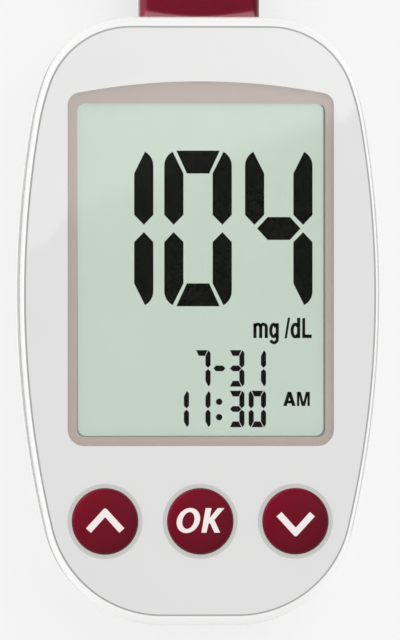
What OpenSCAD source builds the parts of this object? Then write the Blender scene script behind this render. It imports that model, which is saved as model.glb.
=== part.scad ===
// Blood glucose meter, hand held, lying on its back with the display up.
// X runs across the display, Y up the display towards the strip port, Z out of the display.
// The origin is the middle of the flat back, on the surface that the meter lies on.

/* [Face outline] */
// Half length of the straight edge at the top of the face
top_flat = 10.1; // [9.5:0.1:10.6]
// Radius of the face's top corners
top_corner_r = 12.4; // [11.9:0.1:12.9]
// Angle that each top corner turns through
top_corner_turn = 70.4; // [69:0.1:72]
// Radius of the shoulder between a top corner and the long side
shoulder_r = 36; // [34:1:42]
// Angle that each shoulder turns through
shoulder_turn = 10; // [9:0.5:11]
// Radius of the long, slightly bowed side
side_r = 147; // [142:1:152]
// Angle that each long side turns through
side_turn = 22.9; // [22.4:0.1:23.4]
// Radius of the face's bottom corners
bottom_corner_r = 16.45; // [16.05:0.1:16.95]

/* [Housing] */
// Height of the face above the surface that the meter lies on
face_z = 15.7; // [15.6:0.1:16.2]
// Height of the parting line between the two housings
parting_z = 8.6; // [8.5:0.1:8.7]
// How far the rear housing bulges past the face's outline at the sides
side_bulge = 1.15; // [1.0:0.05:1.4]
// How far the housings stand past the face's outline at the two ends
end_bulge = 1.55; // [1.4:0.05:1.6]
// Height of the widest line of the rear housing
belly_z = 6.4; // [6.2:0.1:6.6]
// How far in from the face's outline the flat of the back ends
back_inset = 5; // [4.5:0.1:5.5]

/* [Display] */
// Half width of the display's printed surround
surround_half_w = 19.3; // [19:0.02:19.5]
// How far right of the meter's middle the surround sits
surround_x = 0.09; // [0:0.01:0.1]
// Highest point of the surround's arched top edge
surround_top = 34.72; // [34.5:0.02:35]
// Lowest edge of the surround
surround_bottom = -18.1; // [-18.4:0.1:-18]
// Radius of the arched top edge
surround_arch_r = 96; // [90:1:110]
// Radius of the surround's two upper corners
surround_top_r = 1.85; // [1.5:0.05:2]
// Radius of the surround's two lower corners
surround_low_r = 2.4; // [2:0.1:2.6]
// Half width of the clear window
window_half_w = 18; // [17.6:0.05:18]
// How far right of the meter's middle the window sits
window_x = 0.18; // [0:0.01:0.2]
// Top edge of the clear window
window_top = 31.55; // [31.2:0.05:31.8]
// Bottom edge of the clear window
window_bottom = -16.8; // [-16.9:0.1:-16.4]
// Radius of the clear window's corners
window_r = 1.1; // [0.9:0.05:1.2]

/* [Keys] */
// Distance from one key to the next
key_pitch = 13.8; // [13.6:0.1:13.9]
// Height of the row of keys on the face
key_y = -29; // [-29.2:0.1:-28.8]
// Radius of a key's cap
key_r = 4.74; // [4.62:0.02:4.8]
// Travel of a key
key_travel = 0.5; // [0.3:0.05:0.5]

/* [Strip port] */
// Width of the ejector head
head_w = 17.4; // [17:0.1:18]
// Thickness of the ejector head
head_h = 6.8; // [6.4:0.1:7]
// How far the ejector head stands out of the top end
head_reach = 5.5; // [5:0.1:7]
// Height of the test strip's path above the back
strip_z = 6.1; // [6.1:0.1:6.1]
// Travel of the ejector
eject_travel = 4; // [3:0.5:4]

/* [Battery] */
// Radius of the coin cell
cell_r = 10; // [10:0.1:10]
// Thickness of the coin cell
cell_t = 3.2; // [3:0.1:3.2]
// Half width of the battery door
door_half_w = 13.05; // [12.9:0.05:13.1]
// Travel of the battery door before it lifts off
door_travel = 5; // [4:0.5:5]

/* [Hidden] */
$fn = 64;

shell_white = "#f4f4f3";
panel_grey = "#e3e4e3";
surround_taupe = "#b3a79c";
key_red = "#741829";
lcd_green = "#c4d1c6";
steel = "#c6c8ca";
eps = 0.01;

// Each side of the face is a chain of arcs that meet in line, named from the top corner down.
arc_r = [top_corner_r, shoulder_r, side_r, bottom_corner_r];
arc_turn = [top_corner_turn, shoulder_turn, side_turn,
    180 - top_corner_turn - shoulder_turn - side_turn];
arc_steps = [10, 2, 8, 12];
function heading(i) = i == 0 ? 0 : heading(i - 1) + arc_turn[i - 1];
function arc_drop(i) = arc_r[i] * (cos(heading(i)) - cos(heading(i + 1)));
face_half_h = (arc_drop(0) + arc_drop(1) + arc_drop(2) + arc_drop(3)) / 2;
function start_x(i) = i == 0 ? top_flat
    : start_x(i - 1) + arc_r[i - 1] * (sin(heading(i)) - sin(heading(i - 1)));
function start_y(i) = i == 0 ? face_half_h : start_y(i - 1) - arc_drop(i - 1);
function arc_centre(i) = [start_x(i), start_y(i)] - arc_r[i] * [sin(heading(i)), cos(heading(i))];

// The right half of the face's outline, moved out by d, from the top edge down.
function right_half(d) = concat([[top_flat, face_half_h + d]],
    [for (i = [0:3]) for (k = [1:arc_steps[i]])
        let (a = heading(i) + arc_turn[i] * k / arc_steps[i])
        arc_centre(i) + (arc_r[i] + d) * [sin(a), cos(a)]]);
// Both halves of an outline, from the points of its right half.
function mirrored(right) = concat(right,
    [for (k = [len(right) - 1:-1:0]) [-right[k][0], right[k][1]]]);
// The face's outline moved out by d, and drawn out at both ends until they stand end past it.
function outline(d, end) = [for (p = mirrored(right_half(d)))
    [p[0], p[1] * (face_half_h + end) / (face_half_h + d)]];

// A level of a housing is [height, side offset, end offset].
function ring(level) = [for (p = outline(level[1], level[2])) [p[0], p[1], level[0]]];
function skin(m, n, closed) = [for (i = [0:closed ? m - 1 : m - 2]) for (k = [0:n - 1])
    let (low = i * n, high = (i + 1) % m * n, next = (k + 1) % n)
    each [[low + k, low + next, high + next], [low + k, high + next, high + k]]];

// A closed solid through stacked rings, flat at its first and last ring.
module loft(levels) {
    rings = [for (level = levels) ring(level)];
    n = len(rings[0]);
    m = len(rings);
    polyhedron(points = [for (r = rings) each r],
        faces = concat([[for (k = [n - 1:-1:0]) k]], skin(m, n, false),
            [[for (k = [0:n - 1]) (m - 1) * n + k]]));
}

// A wall all round the outline, from the closed profile that its levels give.
module wall(levels) {
    rings = [for (level = levels) ring(level)];
    polyhedron(points = [for (r = rings) each r], faces = skin(len(rings), len(rings[0]), true));
}

module plate(z0, z1, points) translate([0, 0, z0]) linear_extrude(z1 - z0) polygon(points);
module block(low, high) translate(low) cube(high - low);
module post(x, y, z0, z1, r) translate([x, y, z0]) cylinder(h = z1 - z0, r = r);
module both_sides() {
    children();
    mirror([1, 0, 0]) children();
}
module rounded_rect(w, h, r) {
    square([w - 2 * r, h], center = true);
    square([w, h - 2 * r], center = true);
    for (x = [-1, 1], y = [-1, 1]) translate([x * (w / 2 - r), y * (h / 2 - r)]) circle(r);
}

// Housing section ------------------------------------------------------------------------------

wall_in = -1.1;
end_wall_in = -0.6;
floor_top = 2;
lip_h = 1.3;
lip_split = -0.36;
// The shadow groove runs outside the front housing's foot, behind a crest on the rear housing.
crest_h = 0.5;
crest_top = parting_z + crest_h;
crest_out = 0.98;
groove_out = 0.86;
groove_in = 0.56;
// At the two ends the flank hides the crest, the groove and the front housing's foot.
crest_end = end_bulge - 0.15;
groove_end = end_bulge - 0.27;
foot_end = end_bulge - 0.55;
base_steps = 8;
// How far the ends draw in at the back: they are blunter than the sides.
end_draw = 2.6;
function end_fall(t) = end_draw * pow(1 - sin(t), 1.3);
back_levels = [for (k = [0:base_steps]) let (t = 90 * k / base_steps)
    [belly_z * (1 - cos(t)), side_bulge - (back_inset + side_bulge) * (1 - sin(t)),
        end_bulge - end_fall(t)]];
rear_outer = concat(back_levels,
    [[parting_z - 0.2, side_bulge - 0.07, end_bulge],
        [crest_top - 0.1, crest_out + 0.05, crest_end + 0.07], [crest_top, crest_out, crest_end],
        [crest_top, groove_out, groove_end], [parting_z, groove_out, groove_end]]);
rear_inner = concat(
    [[parting_z, lip_split + 0.06, end_wall_in + 0.8],
        [parting_z - lip_h - 0.15, lip_split + 0.06, end_wall_in + 0.8],
        [parting_z - lip_h - 0.15, wall_in, end_wall_in]],
    [for (k = [6:-1:0]) let (t = 15 * k)
        [floor_top + (belly_z - floor_top) * (1 - cos(t)), wall_in - 5.3 * (1 - sin(t)),
            end_wall_in - end_fall(t)]]);

deck_top = face_z - 1.6;
deck_t = 1.2;
rim_z = face_z - 0.15;
flank_z = crest_top + 0.35;
// Share of the way up the front housing, then what is left there of its offset at a side and an end
rim_profile = [[0, 1, 1], [0.38, 0.83, 1], [0.66, 0.68, 0.97], [0.83, 0.53, 0.85],
    [0.925, 0.37, 0.6], [0.98, 0.17, 0.28], [1, 0.05, 0.08]];
front_levels = concat(
    [[parting_z, groove_in, foot_end], [crest_top + 0.05, groove_in, foot_end]],
    [for (p = rim_profile) [flank_z + (rim_z - flank_z) * p[0],
        0.07 + (groove_in - 0.07) * p[1], 0.07 + (end_bulge - 0.07) * p[2]]],
    [[rim_z - 0.06, 0.06, 0.06], [deck_top, 0.06, 0.06], [deck_top, wall_in, end_wall_in],
        [parting_z - lip_h, wall_in, end_wall_in],
        [parting_z - lip_h, lip_split, end_wall_in + 0.74],
        [parting_z, lip_split, end_wall_in + 0.74]]);

// Screws and board -----------------------------------------------------------------------------

board_z = 8;
board_t = 1;
board_top = board_z + board_t;
screw_places = [[13.5, 37], [-13.5, 37], [8.5, -37.9], [-8.5, -37.9]];
screw_seat_z = 3.4;
screw_head_h = 1.4;
screw_tip_z = 12;

// Strip port -----------------------------------------------------------------------------------

top_end = face_half_h + end_bulge;
head_y = top_end + 0.1;
neck_half_w = 8.1;
neck_half_h = 1.65;
slot_half_w = 4.1;
slot_half_h = 0.65;
connector_y = [28.5, 38.2];
crossbar_y = [connector_y[0] - 0.1 - eject_travel - 1.9, connector_y[0] - 0.1 - eject_travel];
anchor_y = 9.5;
spring_r = 1.2;
wire_r = 0.2;
wire_bore_r = 0.35;

// Battery --------------------------------------------------------------------------------------

recess_top = 1.3;
door_z = [0.06, 1.26];
door_top_y = -9.05;
cell_y = -24;
cell_z = 1.45;
pocket_r = cell_r + 0.3;
pocket_top = 5.2;
tray_top = 6.4;
hook_x = [11.7, 12.9];
hook_places = [-15, -33];
hook_stem = 1.5;
hook_nose = 4;
hook_z = [2.08, 2.95];
door_gap = 0.15;

module back_solid() loft(back_levels);

// The tray that holds the cell and the door's hooks, run into the middle of the housing's wall.
module battery_tray() intersection() {
    loft([[floor_top - 0.5, -3.4, -0.8], [3.3, -1.3, 0.1], [tray_top, -0.2, 0.4]]);
    block([-14, -45, 0], [14, -8, tray_top + 1]);
}

// The flat outline of the battery door, open past the bottom end.
module door_outline(gap) {
    r = 2.2 + gap;
    w = 2 * (door_half_w + gap);
    translate([0, door_top_y + gap - 30]) rounded_rect(w, 60, r);
}

module hook_slot(y) {
    reach = door_travel + 0.1;
    block([hook_x[0] - 0.12, y - reach, recess_top - 0.5], [hook_x[1] + 0.12, y + hook_stem + 0.1, 3.05]);
    block([hook_x[0] - 0.12, y, floor_top], [hook_x[1] + 0.12, y + hook_nose + 0.15, 3.05]);
}

module screw_hole(p) {
    translate([p[0], p[1], -1]) cylinder(h = screw_seat_z + 1, r = 2);
    translate([p[0], p[1], -1]) cylinder(h = 12, r = 1.15);
}

module rear_housing() color(shell_white) difference() {
    union() {
        loft(concat(rear_outer, rear_inner));
        battery_tray();
        for (p = screw_places) post(p[0], p[1], floor_top - 0.5, board_z, 2.6);
        post(0, anchor_y, floor_top - 0.5, strip_z + 0.9, 1.2);
    }
    translate([0, 0, -1]) linear_extrude(recess_top + 1) door_outline(door_gap);
    post(0, cell_y, -1, pocket_top, pocket_r);
    both_sides() for (y = hook_places) hook_slot(y);
    for (p = screw_places) screw_hole(p);
    // notch that the ejector's neck slides in
    block([-neck_half_w - 0.2, 40.5, strip_z - neck_half_h - 0.2], [neck_half_w + 0.2, 46, 10]);
    translate([0, anchor_y - 3, strip_z]) rotate([-90, 0, 0]) cylinder(h = 6, r = wire_bore_r);
    block([-2.7, cell_y + cell_r - 0.4, 2.2], [2.7, cell_y + cell_r + 0.5, 7]);
    block([-2.1, cell_y - 6.6, pocket_top - 0.3], [2.1, cell_y - 5.9, 7]);
}

module front_housing() color(shell_white) difference() {
    union() {
        wall(front_levels);
        plate(deck_top - deck_t, deck_top, outline(-0.6, -0.1));
        for (p = screw_places) post(p[0], p[1], board_top, deck_top - deck_t + 0.3, 2.3);
    }
    block([-19.45, -18.85, 12], [19.45, 34.05, 15]);
    for (x = [-1:1]) post(x * key_pitch, key_y, 12, 15, 5.05);
    for (p = screw_places) post(p[0], p[1], board_top - 1, screw_tip_z + 0.3, 1);
    block([-neck_half_w - 0.4, 40.5, parting_z - lip_h - 1], [neck_half_w + 0.4, 46, parting_z]);
}

// Face and display -----------------------------------------------------------------------------

panel_gap = 0.06;
pocket_z = face_z - 0.95;
ring_r = 5.36;
key_gap = 0.1;

// An upright window shape with rounded corners and an arched top, moved out by d.
function window_right(half_w, top, bottom, arch_r, r_top, r_low, d) = let (
    w = half_w + d, rt = r_top + d, rl = r_low + d, ra = arch_r + d,
    arch_y = top - arch_r,
    lean = asin((w - rt) / (ra - rt)),
    top_c = [w - rt, arch_y + (ra - rt) * cos(lean)],
    low_c = [w - rl, bottom - d + rl])
    concat([for (k = [1:6]) let (a = lean * k / 6) [ra * sin(a), arch_y + ra * cos(a)]],
        [for (k = [1:8]) let (a = lean + (90 - lean) * k / 8) top_c + rt * [sin(a), cos(a)]],
        [for (k = [0:8]) let (a = 90 + 90 * k / 8) low_c + rl * [sin(a), cos(a)]]);
function shifted(points, x) = [for (p = points) p + [x, 0]];
function surround(d) = shifted(mirrored(window_right(surround_half_w, surround_top,
    surround_bottom, surround_arch_r, surround_top_r, surround_low_r, d)), surround_x);
function clear_window(d) = shifted(mirrored(window_right(window_half_w, window_top,
    window_bottom, 4000, window_r, window_r, d)), window_x);

module face_panel() color(panel_grey) difference() {
    loft([[deck_top, -panel_gap, -panel_gap], [face_z - 0.18, -panel_gap, -panel_gap],
        [face_z, -panel_gap - 0.18, -panel_gap - 0.18]]);
    plate(pocket_z, face_z + 1, surround(0.04));
    plate(deck_top - 1, face_z + 1, clear_window(0.35));
    for (x = [-1:1]) post(x * key_pitch, key_y, deck_top - 1, face_z + 1, ring_r);
}

mask_t = 0.1;
module display_mask() color(surround_taupe) difference() {
    plate(pocket_z, pocket_z + mask_t, surround(-0.02));
    plate(pocket_z - 1, pocket_z + 1, clear_window(0));
}

module display_lens() color("#dfe9ea", 0.35)
    plate(pocket_z + mask_t, face_z, surround(-0.02));

module key_rings() color("#c8c9c6") for (x = [-1:1]) translate([x * key_pitch, key_y, 0])
    rotate_extrude() polygon([[key_r + key_gap, deck_top], [ring_r - 0.03, deck_top],
        [ring_r - 0.03, face_z], [ring_r - 0.1, face_z + 0.05],
        [key_r + key_gap + 0.15, face_z + 0.05], [key_r + key_gap, face_z - 0.1]]);

lcd_half_w = 19.2;
lcd_y = [-18.6, 33.8];
lcd_ledge = 3.4;
lcd_z = 12.4;
film_t = 0.2;
glass_t = 0.6;

module lcd_layer(z, t, inset, ledge) block([-lcd_half_w + inset, lcd_y[0] + inset + ledge, z],
    [lcd_half_w - inset, lcd_y[1] - inset, z + t]);
module lcd_reflector() color("#b9c4bb") lcd_layer(lcd_z, film_t, 0.6, lcd_ledge);
module lcd_rear_glass() color(lcd_green) lcd_layer(lcd_z + film_t, glass_t, 0, lcd_ledge);
module lcd_front_glass() color(lcd_green) lcd_layer(lcd_z + film_t + glass_t, glass_t, 0, 0);
module lcd_polariser() color(lcd_green)
    lcd_layer(lcd_z + film_t + 2 * glass_t, film_t, 0.6, 0);

zebra_y = [-17.9, -16.1];
module lcd_holder() color("#ececea") difference() {
    block([-19.75, lcd_y[0] - 0.55, board_top], [19.75, lcd_y[1] + 0.55, 12.85]);
    block([-lcd_half_w - 0.1, lcd_y[0] - 0.1, lcd_z], [lcd_half_w + 0.1, lcd_y[1] + 0.1, 14]);
    block([-17.9, -14.9, 8], [17.9, 32.2, 14]);
    block([-16.6, zebra_y[0] - 0.05, 8], [16.6, zebra_y[1] + 0.05, 14]);
}
module zebra_strip() color("#4a4a4c")
    block([-16.5, zebra_y[0], board_top], [16.5, zebra_y[1], lcd_z + film_t + glass_t]);

// Electronics ----------------------------------------------------------------------------------

module main_board() color("#2f6b45") difference() {
    plate(board_z, board_top, outline(-2.5, -2.5));
    for (p = screw_places) post(p[0], p[1], 7, 10, 1.3);
}

module processor_chip() color("#242426") block([1, 3, board_top], [10, 12, board_top + 1.1]);
module memory_chip() color("#242426") block([-10, 6, board_top], [-5, 10, board_top + 0.9]);
module crystal_can() color(steel) translate([-7.5, -2, board_top]) linear_extrude(1.3)
    rounded_rect(5, 2, 0.99);

module chip_resistors() color("#8a8378") {
    for (k = [0:5]) block([-12 + 4.4 * k, 16, board_top], [-10.4 + 4.4 * k, 16.8, board_top + 0.6]);
    for (k = [0:3]) block([-14, -10 + 5 * k, board_top], [-13.2, -8.4 + 5 * k, board_top + 0.6]);
}

module buzzer() color("#1f1f21") difference() {
    block([11.5, 2, board_z - 2], [20.5, 11, board_z]);
    post(16, 6.5, board_z - 3, board_z - 1, 0.9);
}

switch_h = 1.7;
plunger_top = 11.35;
module switch_bases() color(steel) for (x = [-1:1]) translate([x * key_pitch, key_y, 0])
    difference() {
        block([-2.3, -2.3, board_top], [2.3, 2.3, board_top + switch_h]);
        post(0, 0, board_top + 0.3, board_top + switch_h + 1, 1.25);
    }
module plunger(x) color("#2b2b2d") post(x * key_pitch, key_y, board_top + 0.9, plunger_top, 1.15);

// Strip connector: a moulded block under the board, open at both ends, with sprung contacts.
contact_pitch = 1.5;
contact_y = [30.2, 35.6];
module strip_connector() color("#2a2a2c") difference() {
    block([-6, connector_y[0], 4.2], [6, connector_y[1], board_z]);
    block([-3.95, 28, strip_z - 0.5], [3.95, 39, strip_z + 0.5]);
    block([-3.5, contact_y[0] - 0.3, strip_z], [3.5, contact_y[1] + 0.4, board_z + 1]);
    // lead-in above and below the strip's mouth
    translate([-4.4, 0, 0]) rotate([90, 0, 90]) linear_extrude(8.8)
        polygon([[37.2, strip_z - 0.4], [39, strip_z - 1.4], [39, strip_z + 1.4], [37.2, strip_z + 0.4]]);
}

module strip_contacts() color("#d8b45a") for (k = [-2:2])
    translate([k * contact_pitch - 0.35, 0, 0]) rotate([90, 0, 90]) linear_extrude(0.7)
        polygon([[contact_y[0], board_z], [contact_y[0], 7.2], [34.1, strip_z + 0.02],
            [34.6, strip_z + 0.02], [contact_y[1], strip_z + 0.5], [contact_y[1] - 0.15, strip_z + 0.65],
            [34.55, strip_z + 0.22], [34.1, strip_z + 0.22], [contact_y[0] + 0.25, 7.4],
            [contact_y[0] + 0.25, board_z]]);

// Keys -----------------------------------------------------------------------------------------

key_edge = 0.55;
key_edge_z = face_z + 0.4;
key_dome = 0.35;
key_dome_r = (pow(key_r - key_edge, 2) + pow(key_dome, 2)) / (2 * key_dome);
key_flange_z = deck_top - deck_t - 0.9;
key_profile = concat(
    [[0, plunger_top], [1.3, plunger_top], [1.3, 14.6], [3.6, 14.6], [3.6, key_flange_z],
        [5.6, key_flange_z], [5.6, key_flange_z + 0.8], [key_r, key_flange_z + 0.8]],
    [for (k = [0:5]) let (a = 18 * k)
        [key_r - key_edge * (1 - cos(a)), key_edge_z - key_edge * (1 - sin(a))]],
    [for (k = [5:-1:0]) let (x = (key_r - key_edge) * k / 6)
        [x, key_edge_z + key_dome - key_dome_r + sqrt(pow(key_dome_r, 2) - x * x)]]);
module key(x) color(key_red) translate([x * key_pitch, key_y, 0]) rotate_extrude() polygon(key_profile);

// Ejector --------------------------------------------------------------------------------------

module head_shape() intersection() {
    translate([0, head_y + head_reach, strip_z]) rotate([90, 0, 0]) linear_extrude(head_reach)
        rounded_rect(head_w, head_h, 1.5);
    translate([-head_w / 2, head_y + head_reach / 2, strip_z]) rotate([90, 0, 90])
        linear_extrude(head_w) rounded_rect(head_reach, head_h, 1);
    translate([0, head_y + head_reach / 2 - 4, 0]) linear_extrude(20)
        rounded_rect(head_w, head_reach + 8, 2.4);
}

module ejector_head() color(key_red) difference() {
    head_shape();
    block([-7.25, head_y - 1, strip_z - neck_half_h - 0.05], [7.25, head_y + 2.4, strip_z + neck_half_h + 0.05]);
    block([-slot_half_w, head_y, strip_z - slot_half_h], [slot_half_w, head_y + 8, strip_z + slot_half_h]);
    // funnel that leads the strip into the slot
    translate([-slot_half_w - 0.7, head_y + head_reach, strip_z]) rotate([90, 0, 90])
        linear_extrude(2 * slot_half_w + 1.4)
            polygon([[-1.5, -slot_half_h + 0.1], [0.1, -1.6], [0.1, 1.6], [-1.5, slot_half_h - 0.1]]);
}

arm_x = [6.5, 8.1];
arm_z = [4.6, 7.6];
lug_y = [face_half_h + end_wall_in - eject_travel - 1.5, face_half_h + end_wall_in - eject_travel - 0.1];
module ejector_carriage() color("#56585a") difference() {
    union() {
        block([-7.2, 38.9, strip_z - neck_half_h], [7.2, head_y + 2.35, strip_z + neck_half_h]);
        both_sides() {
            block([arm_x[0], crossbar_y[0], arm_z[0]], [arm_x[1], 40.5, arm_z[1]]);
            block([arm_x[1] - eps, lug_y[0], strip_z - 0.6], [9.6, lug_y[1], arm_z[1] - 0.3]);
        }
        block([-arm_x[1], crossbar_y[0], arm_z[0]], [arm_x[1], crossbar_y[1], arm_z[1]]);
        // tongue that pushes the used strip out
        block([-2.4, crossbar_y[1] - eps, strip_z - 0.42], [2.4, 31, strip_z - 0.05]);
    }
    block([-slot_half_w, 38, strip_z - slot_half_h], [slot_half_w, 48, strip_z + slot_half_h]);
    translate([0, crossbar_y[0] - 1, strip_z]) rotate([-90, 0, 0]) cylinder(h = 2.2, r = wire_bore_r);
}

// The return spring is a tension coil whose two ends run in to its axis and on through the bores.
spring_turns = 10;
turn_steps = 10;
leg_steps = 5;
coil_y = [anchor_y + 2.6, crossbar_y[0] - 1.6];
function spring_path() = let (n = spring_turns * turn_steps) concat(
    [[0, anchor_y - 1, 0], [0, anchor_y + 1.6, 0]],
    [for (k = [-leg_steps:n + leg_steps]) let (
        share = min(1, min(k + leg_steps, n + leg_steps - k) / leg_steps),
        r = spring_r * share * share * (3 - 2 * share))
        [r, coil_y[0] + (coil_y[1] - coil_y[0]) * k / n, 360 * k / turn_steps]],
    [[0, crossbar_y[0] - 0.4, 0], [0, crossbar_y[0] + 0.9, 0]]);
spring_points = spring_path();
function on_axis(p) = [p[0] * cos(p[2]), p[1], strip_z + p[0] * sin(p[2])];
function unit(v) = v / norm(v);
wire_sides = 6;

module ejector_spring() color(steel) {
    m = len(spring_points);
    rings = [for (i = [0:m - 1]) let (
        here = on_axis(spring_points[i]),
        along = unit(on_axis(spring_points[min(i + 1, m - 1)]) - on_axis(spring_points[max(i - 1, 0)])),
        out_guess = [cos(spring_points[i][2]), 0, sin(spring_points[i][2])],
        out = unit(out_guess - along * (out_guess * along)),
        side = cross(along, out))
        [for (k = [0:wire_sides - 1]) let (a = 360 * k / wire_sides)
            here + wire_r * (cos(a) * out + sin(a) * side)]];
    polyhedron(points = [for (r = rings) each r],
        faces = concat([[for (k = [wire_sides - 1:-1:0]) k]], skin(m, wire_sides, false),
            [[for (k = [0:wire_sides - 1]) (m - 1) * wire_sides + k]]));
}

// Battery and fasteners ------------------------------------------------------------------------

module coin_cell() color(steel) translate([0, cell_y, cell_z]) rotate_extrude()
    polygon([[0, 0], [cell_r - 0.4, 0], [cell_r - 0.1, 0.1], [cell_r, 0.4], [cell_r, cell_t - 0.5],
        [cell_r - 0.3, cell_t - 0.25], [cell_r - 1.2, cell_t - 0.25], [cell_r - 1.5, cell_t], [0, cell_t]]);

module cell_positive_contact() color("#cfd1d3") {
    block([-2.4, cell_y + cell_r + 0.03, 2.4], [2.4, cell_y + cell_r + 0.3, board_z]);
}

module cell_negative_contact() color("#cfd1d3") {
    block([-1.9, cell_y - 6.4, cell_z + cell_t + 0.3], [1.9, cell_y - 6.15, board_z]);
    translate([-1.9, 0, 0]) rotate([90, 0, 90]) linear_extrude(3.8)
        polygon([[cell_y - 6.4, 4.95], [cell_y - 6.4, 5.15], [cell_y - 1, 4.87], [cell_y + 1.5, 5.1],
            [cell_y + 1.5, 4.9], [cell_y - 1, 4.67]]);
}

module screws() color(steel) for (p = screw_places) translate([p[0], p[1], 0]) difference() {
    union() {
        post(0, 0, screw_seat_z - screw_head_h, screw_seat_z, 1.8);
        post(0, 0, screw_seat_z - eps, screw_tip_z, 0.95);
    }
    for (a = [0, 90]) rotate(a) block([-1.1, -0.25, 1], [1.1, 0.25, screw_seat_z - 0.7]);
}

module hook(y) {
    block([hook_x[0], y, door_z[1] - 0.3], [hook_x[1], y + hook_stem, hook_z[1]]);
    block([hook_x[0], y + hook_stem - eps, hook_z[0]], [hook_x[1], y + hook_nose, hook_z[1]]);
}

grip_ribs = 6;
module battery_door() color(shell_white) difference() {
    union() {
        intersection() {
            back_solid();
            translate([0, 0, door_z[0]]) linear_extrude(door_z[1] - door_z[0]) door_outline(0);
        }
        both_sides() for (y = hook_places) hook(y);
    }
    // thumb grip: a row of grooves across the door
    for (k = [0:grip_ribs - 1]) translate([0, door_top_y - 4 - 1.3 * k, door_z[0] - 0.15])
        rotate([0, 90, 0]) cylinder(h = 12 - k, r = 0.45, center = true);
}

rear_housing();
front_housing();
face_panel();
display_lens();
display_mask();
key_rings();
lcd_polariser();
lcd_front_glass();
lcd_rear_glass();
lcd_reflector();
lcd_holder();
zebra_strip();
main_board();
processor_chip();
memory_chip();
crystal_can();
chip_resistors();
buzzer();
switch_bases();
strip_connector();
strip_contacts();
cell_positive_contact();
cell_negative_contact();
coin_cell();
screws();
key(-1);  // up_key
plunger(-1);  // up_plunger
key(0);  // ok_key
plunger(0);  // ok_plunger
key(1);  // down_key
plunger(1);  // down_plunger
ejector_head();
ejector_carriage();
ejector_spring();
battery_door();
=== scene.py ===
import math
import bmesh
import bpy
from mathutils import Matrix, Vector


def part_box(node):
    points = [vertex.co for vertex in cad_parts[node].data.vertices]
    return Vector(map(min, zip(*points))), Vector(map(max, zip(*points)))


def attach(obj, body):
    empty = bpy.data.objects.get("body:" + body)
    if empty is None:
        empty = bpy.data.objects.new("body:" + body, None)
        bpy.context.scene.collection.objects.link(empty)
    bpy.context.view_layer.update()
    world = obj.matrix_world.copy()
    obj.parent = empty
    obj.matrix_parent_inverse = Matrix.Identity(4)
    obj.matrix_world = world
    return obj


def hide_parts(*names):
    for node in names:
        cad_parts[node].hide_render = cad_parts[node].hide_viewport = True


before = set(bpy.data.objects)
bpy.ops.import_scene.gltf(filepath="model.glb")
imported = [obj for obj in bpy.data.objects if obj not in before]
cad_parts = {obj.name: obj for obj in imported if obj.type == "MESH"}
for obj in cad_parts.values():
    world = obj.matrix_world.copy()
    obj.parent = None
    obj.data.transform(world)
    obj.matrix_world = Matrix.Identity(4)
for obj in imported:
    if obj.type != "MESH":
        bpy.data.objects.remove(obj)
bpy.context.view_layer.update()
MM = 0.001

# Camera ----------------------------------
# It looks straight down on the face from a metre away and leans a little to the left, so more of
# the left flank shows than of the right one.
LOOK_AT = Vector((-0.04 * MM, 0.16 * MM, 15.7 * MM))
CAMERA_DISTANCE = 1.0
CAMERA_LEAN = math.radians(2.4)
VIEW_HEIGHT = 92.69 * MM
SENSOR_MM = 36

towards_camera = Vector((-math.sin(CAMERA_LEAN), 0, math.cos(CAMERA_LEAN)))
bpy.ops.object.camera_add(location=LOOK_AT + CAMERA_DISTANCE * towards_camera,
                          rotation=(0, -CAMERA_LEAN, 0))
camera = bpy.context.object
camera.data.sensor_width = SENSOR_MM
camera.data.lens = SENSOR_MM * CAMERA_DISTANCE / VIEW_HEIGHT
camera.data.clip_start = 0.02
bpy.context.scene.camera = camera
bpy.context.scene.view_settings.view_transform = "Standard"

# Floor and studio light ------------------
# A plain pale light table under an even white sky: its glow keeps the meter's shadow faint. Gloss
# sees a room that is dark overhead and light at the horizon, with cards that light single pieces.
SKY_STRENGTH = 0.86
OVERHEAD_IN_GLOSS, HORIZON_IN_GLOSS = 0.08, 0.5
HORIZON_BAND = 0.35
FLOOR_COLOUR = (0.3, 0.3, 0.3, 1)
FLOOR_GLOW = 0.63


def plain_material(name, colour, roughness=0.5):
    """A material with one Principled shader, and that shader."""
    made = bpy.data.materials.new(name)
    made.use_nodes = True
    shader = made.node_tree.nodes["Principled BSDF"]
    shader.inputs["Base Color"].default_value = colour
    shader.inputs["Roughness"].default_value = roughness
    return made, shader


world = bpy.data.worlds.new("studio_sky")
world.use_nodes = True
tree = world.node_tree
sky = tree.nodes["Background"]
sky.inputs["Color"].default_value = (1, 1, 1, 1)
ray = tree.nodes.new("ShaderNodeLightPath")
full_sky = tree.nodes.new("ShaderNodeMath")
full_sky.operation = "MAXIMUM"
sky_level = tree.nodes.new("ShaderNodeMapRange")
sky_place = tree.nodes.new("ShaderNodeSeparateXYZ")
in_gloss = tree.nodes.new("ShaderNodeMapRange")
in_gloss.inputs["From Max"].default_value = HORIZON_BAND
in_gloss.inputs["To Min"].default_value = HORIZON_IN_GLOSS
in_gloss.inputs["To Max"].default_value = OVERHEAD_IN_GLOSS
tree.links.new(tree.nodes.new("ShaderNodeTexCoord").outputs["Generated"], sky_place.inputs[0])
tree.links.new(sky_place.outputs["Z"], in_gloss.inputs["Value"])
tree.links.new(in_gloss.outputs["Result"], sky_level.inputs["To Min"])
sky_level.inputs["To Max"].default_value = SKY_STRENGTH
tree.links.new(ray.outputs["Is Camera Ray"], full_sky.inputs[0])
tree.links.new(ray.outputs["Is Diffuse Ray"], full_sky.inputs[1])
tree.links.new(full_sky.outputs[0], sky_level.inputs["Value"])
tree.links.new(sky_level.outputs["Result"], sky.inputs["Strength"])
world.cycles.sampling_method = "NONE"
bpy.context.scene.world = world

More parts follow.
